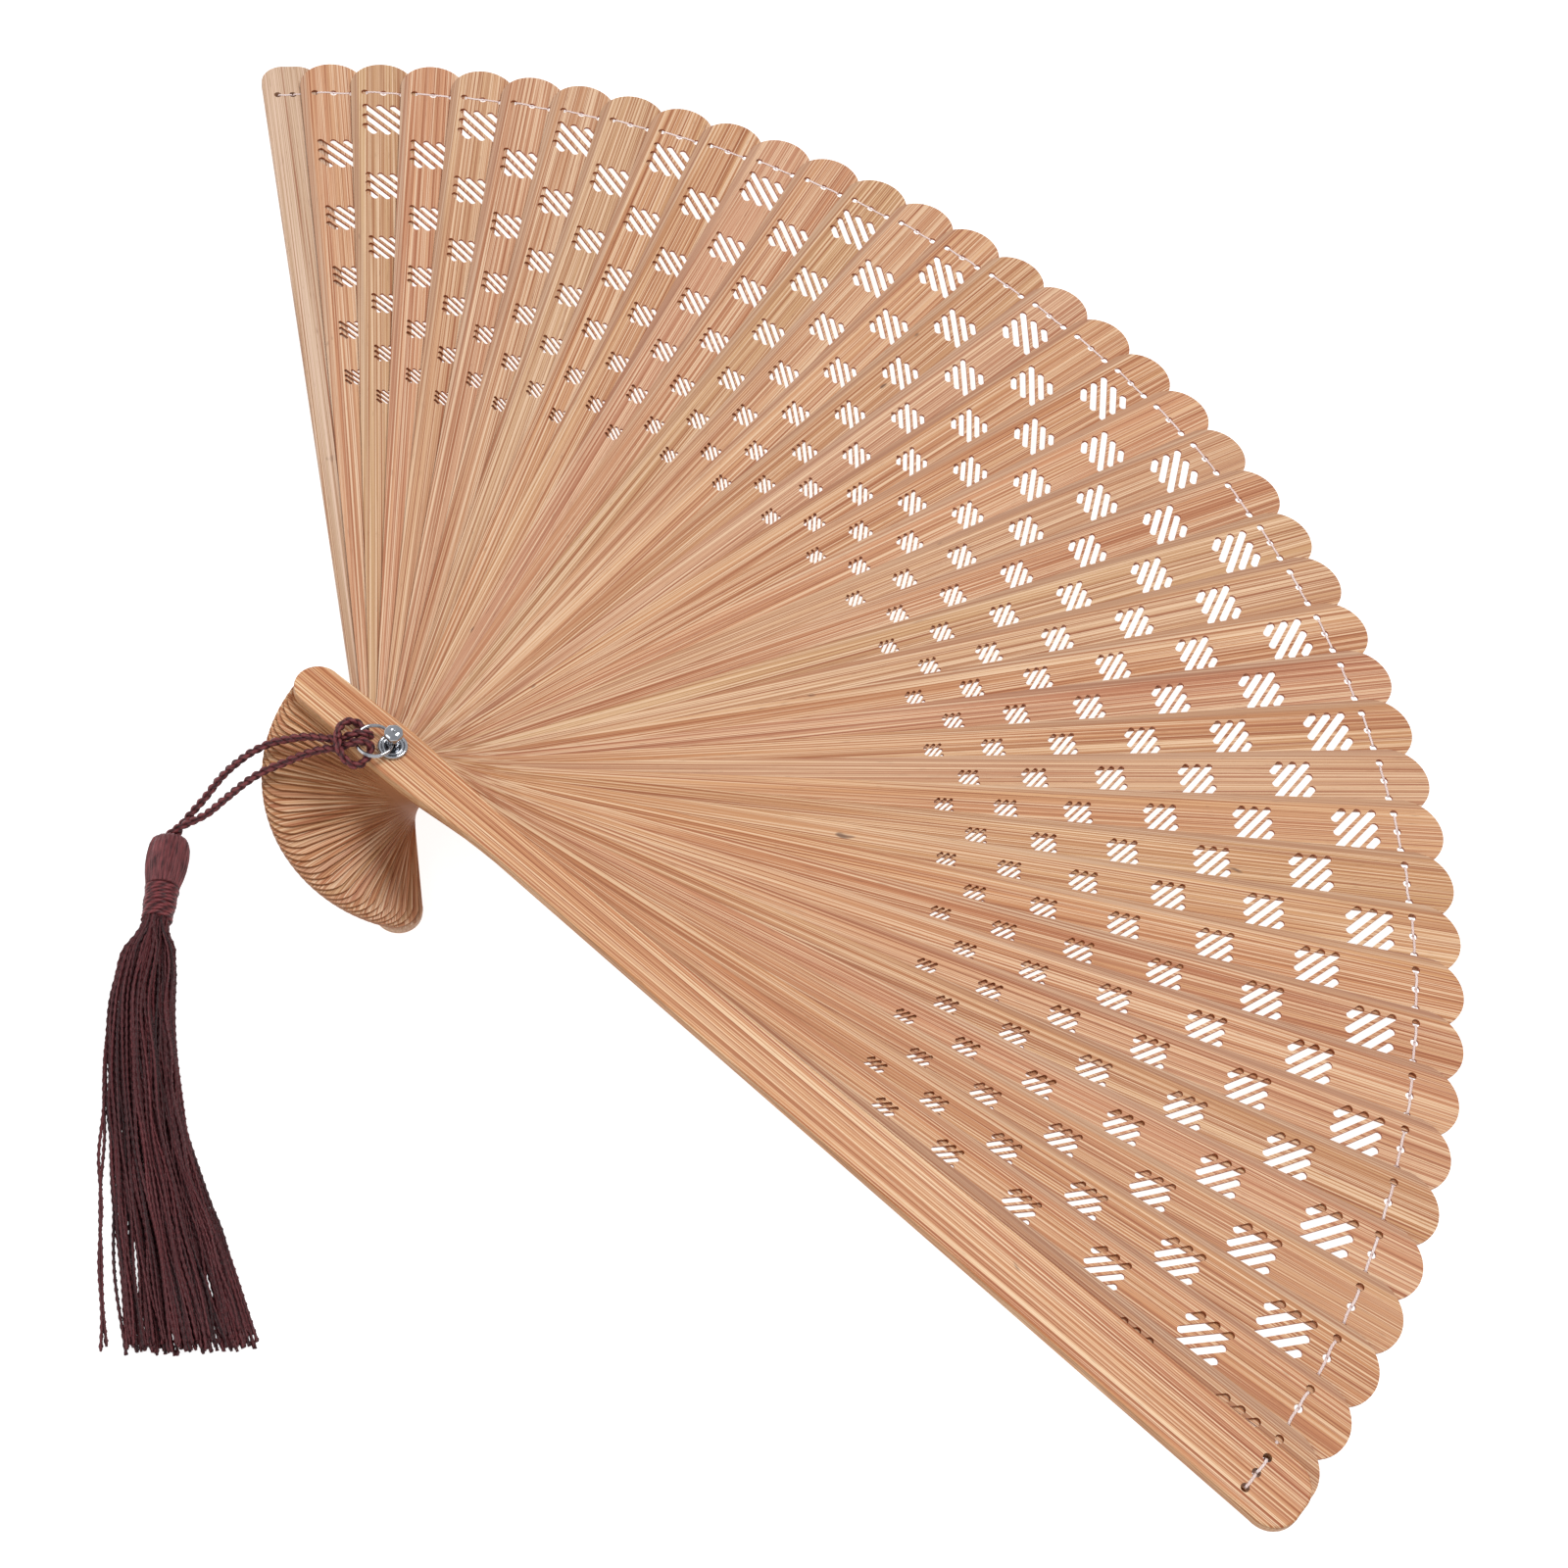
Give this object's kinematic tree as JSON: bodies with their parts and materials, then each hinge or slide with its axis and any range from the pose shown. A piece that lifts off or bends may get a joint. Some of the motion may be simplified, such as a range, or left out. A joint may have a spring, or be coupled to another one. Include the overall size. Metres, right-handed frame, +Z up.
{
  "type": "folding hand fan",
  "caption": "Open folding hand fan of pierced bamboo-grained wooden sticks turning on one steel rivet, with a ring, a twisted cord and a burgundy tassel.",
  "frame": {"origin": "on the rivet's axis, at the underside of the rear guard and of the rivet's flush foot", "axes": "+Z up the rivet from the rear guard to the front guard, +Y along the middle of the open spread, +X towards the front guard's side"},
  "size_m": [0.3452, 0.2581, 0.0293],
  "materials": {
    "pale_bamboo": "satin",
    "stick_bamboo": "satin",
    "guard_bamboo": "satin",
    "steel": "polished",
    "cord": "soft sheen",
    "tassel": "silky",
    "thread": "matt"
  },
  "bodies": {
    "rear_guard": {"rear_guard": "pale_bamboo", "rear_guard_thread": "thread"},
    "stick_01": {"stick_01": "stick_bamboo"},
    "stick_02": {"stick_02": "stick_bamboo"},
    "stick_03": {"stick_03": "stick_bamboo"},
    "stick_04": {"stick_04": "stick_bamboo"},
    "stick_05": {"stick_05": "stick_bamboo"},
    "stick_06": {"stick_06": "stick_bamboo"},
    "stick_07": {"stick_07": "stick_bamboo"},
    "stick_08": {"stick_08": "stick_bamboo"},
    "stick_09": {"stick_09": "stick_bamboo"},
    "stick_10": {"stick_10": "stick_bamboo"},
    "stick_11": {"stick_11": "stick_bamboo"},
    "stick_12": {"stick_12": "stick_bamboo"},
    "stick_13": {"stick_13": "stick_bamboo"},
    "stick_14": {"stick_14": "stick_bamboo"},
    "stick_15": {"stick_15": "stick_bamboo"},
    "stick_16": {"stick_16": "stick_bamboo"},
    "stick_17": {"stick_17": "stick_bamboo"},
    "stick_18": {"stick_18": "stick_bamboo"},
    "stick_19": {"stick_19": "stick_bamboo"},
    "stick_20": {"stick_20": "stick_bamboo"},
    "stick_21": {"stick_21": "stick_bamboo"},
    "stick_22": {"stick_22": "stick_bamboo"},
    "stick_23": {"stick_23": "stick_bamboo"},
    "stick_24": {"stick_24": "stick_bamboo"},
    "stick_25": {"stick_25": "stick_bamboo"},
    "stick_26": {"stick_26": "stick_bamboo"},
    "stick_27": {"stick_27": "stick_bamboo"},
    "stick_28": {"stick_28": "stick_bamboo"},
    "stick_29": {"stick_29": "stick_bamboo"},
    "stick_30": {"stick_30": "stick_bamboo"},
    "stick_31": {"stick_31": "stick_bamboo"},
    "stick_32": {"stick_32": "stick_bamboo"},
    "stick_33": {"stick_33": "stick_bamboo"},
    "stick_34": {"stick_34": "stick_bamboo"},
    "stick_35": {"stick_35": "stick_bamboo"},
    "stick_36": {"stick_36": "stick_bamboo"},
    "stick_37": {"stick_37": "stick_bamboo"},
    "stick_38": {"stick_38": "stick_bamboo"},
    "stick_39": {"stick_39": "stick_bamboo"},
    "stick_40": {"stick_40": "stick_bamboo"},
    "front_guard": {"front_guard": "guard_bamboo", "front_guard_thread": "thread"},
    "rivet": {"rivet_shank": "steel", "rivet_head": "steel", "rivet_foot": "steel", "front_eyelet": "steel"},
    "tassel": {"tassel_ring": "steel", "cord_upper_half": "cord", "cord_lower_half": "cord", "tassel_head": "tassel", "tassel_binding": "cord", "tassel_skirt": "tassel"}
  },
  "joints": [
    {"name": "fold", "type": "hinge", "parent": "rear_guard", "child": "front_guard", "pos_m": [0, 0, 0], "axis": [0, 0, 1], "range_deg": [0, 141]},
    {"name": "stick_01_turn", "type": "hinge", "parent": "rear_guard", "child": "stick_01", "pos_m": [0, 0, 0], "axis": [0, 0, 1], "range_deg": [0, 2.74]},
    {"name": "stick_02_turn", "type": "hinge", "parent": "rear_guard", "child": "stick_02", "pos_m": [0, 0, 0], "axis": [0, 0, 1], "range_deg": [0, 6.03]},
    {"name": "stick_03_turn", "type": "hinge", "parent": "rear_guard", "child": "stick_03", "pos_m": [0, 0, 0], "axis": [0, 0, 1], "range_deg": [0, 9.33]},
    {"name": "stick_04_turn", "type": "hinge", "parent": "rear_guard", "child": "stick_04", "pos_m": [0, 0, 0], "axis": [0, 0, 1], "range_deg": [0, 12.65]},
    {"name": "stick_05_turn", "type": "hinge", "parent": "rear_guard", "child": "stick_05", "pos_m": [0, 0, 0], "axis": [0, 0, 1], "range_deg": [0, 15.99]},
    {"name": "stick_06_turn", "type": "hinge", "parent": "rear_guard", "child": "stick_06", "pos_m": [0, 0, 0], "axis": [0, 0, 1], "range_deg": [0, 19.35]},
    {"name": "stick_07_turn", "type": "hinge", "parent": "rear_guard", "child": "stick_07", "pos_m": [0, 0, 0], "axis": [0, 0, 1], "range_deg": [0, 22.74]},
    {"name": "stick_08_turn", "type": "hinge", "parent": "rear_guard", "child": "stick_08", "pos_m": [0, 0, 0], "axis": [0, 0, 1], "range_deg": [0, 26.15]},
    {"name": "stick_09_turn", "type": "hinge", "parent": "rear_guard", "child": "stick_09", "pos_m": [0, 0, 0], "axis": [0, 0, 1], "range_deg": [0, 29.6]},
    {"name": "stick_10_turn", "type": "hinge", "parent": "rear_guard", "child": "stick_10", "pos_m": [0, 0, 0], "axis": [0, 0, 1], "range_deg": [0, 33.07]},
    {"name": "stick_11_turn", "type": "hinge", "parent": "rear_guard", "child": "stick_11", "pos_m": [0, 0, 0], "axis": [0, 0, 1], "range_deg": [0, 36.58]},
    {"name": "stick_12_turn", "type": "hinge", "parent": "rear_guard", "child": "stick_12", "pos_m": [0, 0, 0], "axis": [0, 0, 1], "range_deg": [0, 40.13]},
    {"name": "stick_13_turn", "type": "hinge", "parent": "rear_guard", "child": "stick_13", "pos_m": [0, 0, 0], "axis": [0, 0, 1], "range_deg": [0, 43.7]},
    {"name": "stick_14_turn", "type": "hinge", "parent": "rear_guard", "child": "stick_14", "pos_m": [0, 0, 0], "axis": [0, 0, 1], "range_deg": [0, 47.31]},
    {"name": "stick_15_turn", "type": "hinge", "parent": "rear_guard", "child": "stick_15", "pos_m": [0, 0, 0], "axis": [0, 0, 1], "range_deg": [0, 50.94]},
    {"name": "stick_16_turn", "type": "hinge", "parent": "rear_guard", "child": "stick_16", "pos_m": [0, 0, 0], "axis": [0, 0, 1], "range_deg": [0, 54.6]},
    {"name": "stick_17_turn", "type": "hinge", "parent": "rear_guard", "child": "stick_17", "pos_m": [0, 0, 0], "axis": [0, 0, 1], "range_deg": [0, 58.28]},
    {"name": "stick_18_turn", "type": "hinge", "parent": "rear_guard", "child": "stick_18", "pos_m": [0, 0, 0], "axis": [0, 0, 1], "range_deg": [0, 61.97]},
    {"name": "stick_19_turn", "type": "hinge", "parent": "rear_guard", "child": "stick_19", "pos_m": [0, 0, 0], "axis": [0, 0, 1], "range_deg": [0, 65.68]},
    {"name": "stick_20_turn", "type": "hinge", "parent": "rear_guard", "child": "stick_20", "pos_m": [0, 0, 0], "axis": [0, 0, 1], "range_deg": [0, 69.39]},
    {"name": "stick_21_turn", "type": "hinge", "parent": "rear_guard", "child": "stick_21", "pos_m": [0, 0, 0], "axis": [0, 0, 1], "range_deg": [0, 73.11]},
    {"name": "stick_22_turn", "type": "hinge", "parent": "rear_guard", "child": "stick_22", "pos_m": [0, 0, 0], "axis": [0, 0, 1], "range_deg": [0, 76.82]},
    {"name": "stick_23_turn", "type": "hinge", "parent": "rear_guard", "child": "stick_23", "pos_m": [0, 0, 0], "axis": [0, 0, 1], "range_deg": [0, 80.53]},
    {"name": "stick_24_turn", "type": "hinge", "parent": "rear_guard", "child": "stick_24", "pos_m": [0, 0, 0], "axis": [0, 0, 1], "range_deg": [0, 84.22]},
    {"name": "stick_25_turn", "type": "hinge", "parent": "rear_guard", "child": "stick_25", "pos_m": [0, 0, 0], "axis": [0, 0, 1], "range_deg": [0, 87.9]},
    {"name": "stick_26_turn", "type": "hinge", "parent": "rear_guard", "child": "stick_26", "pos_m": [0, 0, 0], "axis": [0, 0, 1], "range_deg": [0, 91.56]},
    {"name": "stick_27_turn", "type": "hinge", "parent": "rear_guard", "child": "stick_27", "pos_m": [0, 0, 0], "axis": [0, 0, 1], "range_deg": [0, 95.19]},
    {"name": "stick_28_turn", "type": "hinge", "parent": "rear_guard", "child": "stick_28", "pos_m": [0, 0, 0], "axis": [0, 0, 1], "range_deg": [0, 98.8]},
    {"name": "stick_29_turn", "type": "hinge", "parent": "rear_guard", "child": "stick_29", "pos_m": [0, 0, 0], "axis": [0, 0, 1], "range_deg": [0, 102.37]},
    {"name": "stick_30_turn", "type": "hinge", "parent": "rear_guard", "child": "stick_30", "pos_m": [0, 0, 0], "axis": [0, 0, 1], "range_deg": [0, 105.92]},
    {"name": "stick_31_turn", "type": "hinge", "parent": "rear_guard", "child": "stick_31", "pos_m": [0, 0, 0], "axis": [0, 0, 1], "range_deg": [0, 109.43]},
    {"name": "stick_32_turn", "type": "hinge", "parent": "rear_guard", "child": "stick_32", "pos_m": [0, 0, 0], "axis": [0, 0, 1], "range_deg": [0, 112.9]},
    {"name": "stick_33_turn", "type": "hinge", "parent": "rear_guard", "child": "stick_33", "pos_m": [0, 0, 0], "axis": [0, 0, 1], "range_deg": [0, 116.35]},
    {"name": "stick_34_turn", "type": "hinge", "parent": "rear_guard", "child": "stick_34", "pos_m": [0, 0, 0], "axis": [0, 0, 1], "range_deg": [0, 119.76]},
    {"name": "stick_35_turn", "type": "hinge", "parent": "rear_guard", "child": "stick_35", "pos_m": [0, 0, 0], "axis": [0, 0, 1], "range_deg": [0, 123.15]},
    {"name": "stick_36_turn", "type": "hinge", "parent": "rear_guard", "child": "stick_36", "pos_m": [0, 0, 0], "axis": [0, 0, 1], "range_deg": [0, 126.51]},
    {"name": "stick_37_turn", "type": "hinge", "parent": "rear_guard", "child": "stick_37", "pos_m": [0, 0, 0], "axis": [0, 0, 1], "range_deg": [0, 129.85]},
    {"name": "stick_38_turn", "type": "hinge", "parent": "rear_guard", "child": "stick_38", "pos_m": [0, 0, 0], "axis": [0, 0, 1], "range_deg": [0, 133.17]},
    {"name": "stick_39_turn", "type": "hinge", "parent": "rear_guard", "child": "stick_39", "pos_m": [0, 0, 0], "axis": [0, 0, 1], "range_deg": [0, 136.47]},
    {"name": "stick_40_turn", "type": "hinge", "parent": "rear_guard", "child": "stick_40", "pos_m": [0, 0, 0], "axis": [0, 0, 1], "range_deg": [0, 139.76]},
    {"name": "rivet_turn", "type": "hinge", "parent": "front_guard", "child": "rivet", "pos_m": [0, 0, 0], "axis": [0, 0, 1], "range_deg": [0, 45]},
    {"name": "tassel_lift", "type": "hinge", "parent": "rivet", "child": "tassel", "pos_m": [0, 0, 0.02639], "axis": [-0.9063, 0.4226, 0], "range_deg": [0, 80]}
  ],
  "couplings": [
    {"joint": "stick_01_turn", "follows": "fold", "ratio": 0.019052},
    {"joint": "stick_02_turn", "follows": "fold", "ratio": 0.042412},
    {"joint": "stick_03_turn", "follows": "fold", "ratio": 0.065843},
    {"joint": "stick_04_turn", "follows": "fold", "ratio": 0.089378},
    {"joint": "stick_05_turn", "follows": "fold", "ratio": 0.11305},
    {"joint": "stick_06_turn", "follows": "fold", "ratio": 0.13687},
    {"joint": "stick_07_turn", "follows": "fold", "ratio": 0.16089},
    {"joint": "stick_08_turn", "follows": "fold", "ratio": 0.18511},
    {"joint": "stick_09_turn", "follows": "fold", "ratio": 0.20955},
    {"joint": "stick_10_turn", "follows": "fold", "ratio": 0.23421},
    {"joint": "stick_11_turn", "follows": "fold", "ratio": 0.25911},
    {"joint": "stick_12_turn", "follows": "fold", "ratio": 0.28424},
    {"joint": "stick_13_turn", "follows": "fold", "ratio": 0.3096},
    {"joint": "stick_14_turn", "follows": "fold", "ratio": 0.33516},
    {"joint": "stick_15_turn", "follows": "fold", "ratio": 0.36093},
    {"joint": "stick_16_turn", "follows": "fold", "ratio": 0.38686},
    {"joint": "stick_17_turn", "follows": "fold", "ratio": 0.41295},
    {"joint": "stick_18_turn", "follows": "fold", "ratio": 0.43915},
    {"joint": "stick_19_turn", "follows": "fold", "ratio": 0.46544},
    {"joint": "stick_20_turn", "follows": "fold", "ratio": 0.49178},
    {"joint": "stick_21_turn", "follows": "fold", "ratio": 0.51814},
    {"joint": "stick_22_turn", "follows": "fold", "ratio": 0.54449},
    {"joint": "stick_23_turn", "follows": "fold", "ratio": 0.57078},
    {"joint": "stick_24_turn", "follows": "fold", "ratio": 0.59698},
    {"joint": "stick_25_turn", "follows": "fold", "ratio": 0.62307},
    {"joint": "stick_26_turn", "follows": "fold", "ratio": 0.649},
    {"joint": "stick_27_turn", "follows": "fold", "ratio": 0.67476},
    {"joint": "stick_28_turn", "follows": "fold", "ratio": 0.70033},
    {"joint": "stick_29_turn", "follows": "fold", "ratio": 0.72569},
    {"joint": "stick_30_turn", "follows": "fold", "ratio": 0.75082},
    {"joint": "stick_31_turn", "follows": "fold", "ratio": 0.77572},
    {"joint": "stick_32_turn", "follows": "fold", "ratio": 0.80038},
    {"joint": "stick_33_turn", "follows": "fold", "ratio": 0.82482},
    {"joint": "stick_34_turn", "follows": "fold", "ratio": 0.84904},
    {"joint": "stick_35_turn", "follows": "fold", "ratio": 0.87305},
    {"joint": "stick_36_turn", "follows": "fold", "ratio": 0.89688},
    {"joint": "stick_37_turn", "follows": "fold", "ratio": 0.92055},
    {"joint": "stick_38_turn", "follows": "fold", "ratio": 0.94409},
    {"joint": "stick_39_turn", "follows": "fold", "ratio": 0.96752},
    {"joint": "stick_40_turn", "follows": "fold", "ratio": 0.99088}
  ]
}
